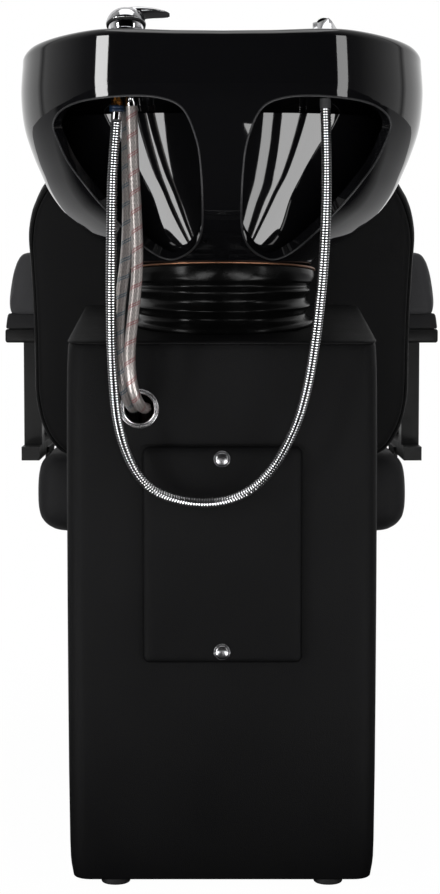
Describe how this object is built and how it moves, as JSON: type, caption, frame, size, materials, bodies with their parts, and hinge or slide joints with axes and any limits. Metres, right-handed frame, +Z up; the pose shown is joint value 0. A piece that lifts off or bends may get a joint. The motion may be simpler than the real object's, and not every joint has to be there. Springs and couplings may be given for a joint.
{
  "type": "salon backwash unit",
  "caption": "Salon backwash unit: a tilting glazed basin with mixer tap and hand shower on an upholstered pedestal, joined to a fixed padded armchair.",
  "frame": {"origin": "on the floor under the middle of the unit's overall box", "axes": "+X across to the right seen from behind, +Y from the pedestal's back towards the sitter's feet, +Z up"},
  "size_m": [0.6, 1.0999, 0.979],
  "materials": {
    "upholstery": "grained black coated fabric, satin",
    "board": "raw plywood",
    "black_plastic": "moulded black plastic",
    "black_steel": "black powder coat, satin",
    "zinc_steel": "zinc plated",
    "chrome": "polished chrome",
    "steel_braid": "stainless braid with coloured tracer yarns",
    "brass": "turned brass",
    "rubber": "black moulded rubber, satin",
    "waste_plastic": "grey drain plastic",
    "glaze": "gloss black glaze"
  },
  "bodies": {
    "stand": {"pedestal_shell": "upholstery", "pedestal_top": "upholstery", "pedestal_base_board": "board", "mounting_board": "board", "pedestal_feet": "black_plastic", "access_panel": "upholstery", "panel_screws": "zinc_steel", "panel_caps": "chrome", "hose_grommet": "chrome", "lower_tilt_bracket": "zinc_steel", "lower_bracket_bolts": "zinc_steel", "tilt_pins": "zinc_steel", "tilt_nuts": "zinc_steel", "friction_washers": "rubber", "bellows": "rubber", "waste_hose": "waste_plastic", "waste_outlet": "waste_plastic", "plinth_sides": "upholstery", "plinth_front": "upholstery", "plinth_feet": "black_plastic", "seat_board": "board", "seat_frame": "board", "seat_cushion": "upholstery", "back_panel": "upholstery", "back_cushion": "upholstery", "back_brackets": "black_steel", "back_bolts": "zinc_steel", "arm_bolts": "zinc_steel", "arm_frame_right": "black_steel", "arm_frame_left": "black_steel", "arm_board_right": "black_plastic", "arm_board_left": "black_plastic", "arm_pad_right": "upholstery", "arm_pad_left": "upholstery", "hot_hose": "steel_braid", "cold_hose": "steel_braid", "hot_union_nut": "brass", "cold_union_nut": "brass"},
    "bowl": {"bowl": "glaze", "basin": "glaze", "upper_tilt_bracket": "zinc_steel", "bowl_bolts": "zinc_steel", "bowl_nuts": "zinc_steel", "drain_flange": "chrome", "drain_nut": "zinc_steel", "drain_tailpiece": "waste_plastic", "tap_body": "chrome", "tap_lock_nut": "brass", "outlet_fitting": "brass", "hose_ferrules": "chrome", "shower_holder": "chrome", "holder_lock_nut": "brass", "hose_guide": "chrome", "shower_hose": "chrome"},
    "tap_stem": {"tap_stem": "zinc_steel"},
    "tap_lever": {"tap_lever": "chrome"},
    "hand_shower": {"hand_shower": "chrome", "spray_face": "black_plastic", "hose_tail": "chrome"},
    "hair_strainer": {"hair_strainer": "chrome"}
  },
  "joints": [
    {"name": "bowl_tilt", "type": "hinge", "parent": "stand", "child": "bowl", "pos_m": [0, -0.31, 0.668], "axis": [1, 0, 0], "range_deg": [-4, 12], "deforming": ["bellows", "hot_hose", "cold_hose", "waste_hose", "shower_hose"]},
    {"name": "tap_swing", "type": "hinge", "parent": "bowl", "child": "tap_stem", "pos_m": [-0.104, -0.49, 0.959], "axis": [0, 0.309, 0.9511], "range_deg": [-50, 50]},
    {"name": "tap_lift", "type": "hinge", "parent": "tap_stem", "child": "tap_lever", "pos_m": [-0.104, -0.49, 0.959], "axis": [0, -0.9511, 0.309], "range_deg": [0, 22]},
    {"name": "shower_lift", "type": "slide", "parent": "bowl", "child": "hand_shower", "axis": [0, 0, 1], "range_m": [0, 0.06]},
    {"name": "strainer_lift", "type": "slide", "parent": "bowl", "child": "hair_strainer", "axis": [0, 0, 1], "range_m": [0, 0.03]}
  ]
}
